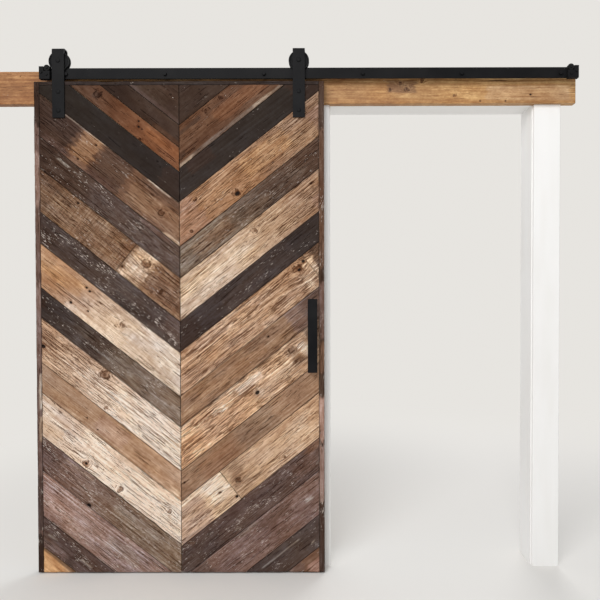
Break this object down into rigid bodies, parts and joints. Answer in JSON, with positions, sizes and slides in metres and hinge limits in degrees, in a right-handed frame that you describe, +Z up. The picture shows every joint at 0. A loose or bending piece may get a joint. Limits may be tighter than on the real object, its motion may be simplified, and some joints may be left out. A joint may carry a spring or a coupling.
{
  "type": "sliding barn door set",
  "caption": "Sliding barn door of reclaimed chevron boards on a black flat-bar track, with header board and white doorway casing.",
  "frame": {"origin": "on the floor, in the middle of the clear doorway, on the wall's face", "axes": "+X along the wall to the right as seen from the room, +Y into the wall, +Z up"},
  "size_m": [2.5403, 0.266, 2.2341],
  "materials": {
    "dark_board": "weathered, almost black brown, rough sawn",
    "brown_board": "weathered brown, rough sawn",
    "tan_board": "worn tan, fine grain",
    "pale_board": "worn pale tan with dark knots",
    "edge_board": "weathered grey brown",
    "back_panel": "plain sheathing",
    "header_wood": "clear-coated golden tan",
    "white_paint": "white satin paint on wood",
    "black_steel": "matte black powder coat",
    "buffer_rubber": "black rubber",
    "bush_steel": "ground steel"
  },
  "bodies": {
    "frame": {"header_board": "header_wood", "track_rail": "black_steel", "track_spacers": "black_steel", "track_lag_bolts": "black_steel", "end_stop_left": "black_steel", "end_stop_right": "black_steel", "stop_buffers": "buffer_rubber", "stop_screws": "black_steel", "jamb_left": "white_paint", "jamb_right": "white_paint", "jamb_head": "white_paint", "casing_left": "white_paint", "casing_right": "white_paint", "floor_guide": "black_steel"},
    "door": {"door_back_panel": "back_panel", "edge_left": "edge_board", "edge_right": "edge_board", "edge_top": "edge_board", "plank_left_01": "dark_board", "plank_left_02": "dark_board", "plank_left_03": "brown_board", "plank_left_04": "dark_board", "plank_left_05": "brown_board", "plank_left_06": "dark_board", "plank_left_07": "tan_board", "plank_left_08": "dark_board", "plank_left_09": "pale_board", "plank_left_10": "dark_board", "plank_left_11": "pale_board", "plank_left_12": "tan_board", "plank_left_13": "pale_board", "plank_left_14": "brown_board", "plank_left_15": "brown_board", "plank_left_16": "dark_board", "plank_left_17": "tan_board", "plank_right_01": "dark_board", "plank_right_02": "brown_board", "plank_right_03": "dark_board", "plank_right_04": "tan_board", "plank_right_05": "brown_board", "plank_right_06": "tan_board", "plank_right_07": "dark_board", "plank_right_08": "tan_board", "plank_right_09": "tan_board", "plank_right_10": "pale_board", "plank_right_11": "tan_board", "plank_right_12": "tan_board", "plank_right_13": "dark_board", "plank_right_14": "brown_board", "plank_right_15": "dark_board", "plank_right_16": "brown_board", "hanger_left": "black_steel", "hanger_right": "black_steel", "hanger_bolts": "black_steel", "axle_bolts": "black_steel", "axle_bushes": "bush_steel", "pull_handle": "black_steel", "handle_screws": "black_steel"},
    "wheel_left": {"wheel_left": "black_steel"},
    "wheel_right": {"wheel_right": "black_steel"}
  },
  "joints": [
    {"name": "door_slide", "type": "slide", "parent": "frame", "child": "door", "axis": [1, 0, 0], "range_m": [0, 1.098]},
    {"name": "wheel_left_spin", "type": "hinge", "parent": "door", "child": "wheel_left", "pos_m": [-1.58716, -0.074, 2.1825], "axis": [0, 1, 0], "continuous": true},
    {"name": "wheel_right_spin", "type": "hinge", "parent": "door", "child": "wheel_right", "pos_m": [-0.57316, -0.074, 2.1825], "axis": [0, 1, 0], "continuous": true}
  ],
  "couplings": [
    {"joint": "wheel_left_spin", "follows": "door_slide", "rad_per_m": 36.63},
    {"joint": "wheel_right_spin", "follows": "door_slide", "rad_per_m": 36.63}
  ]
}
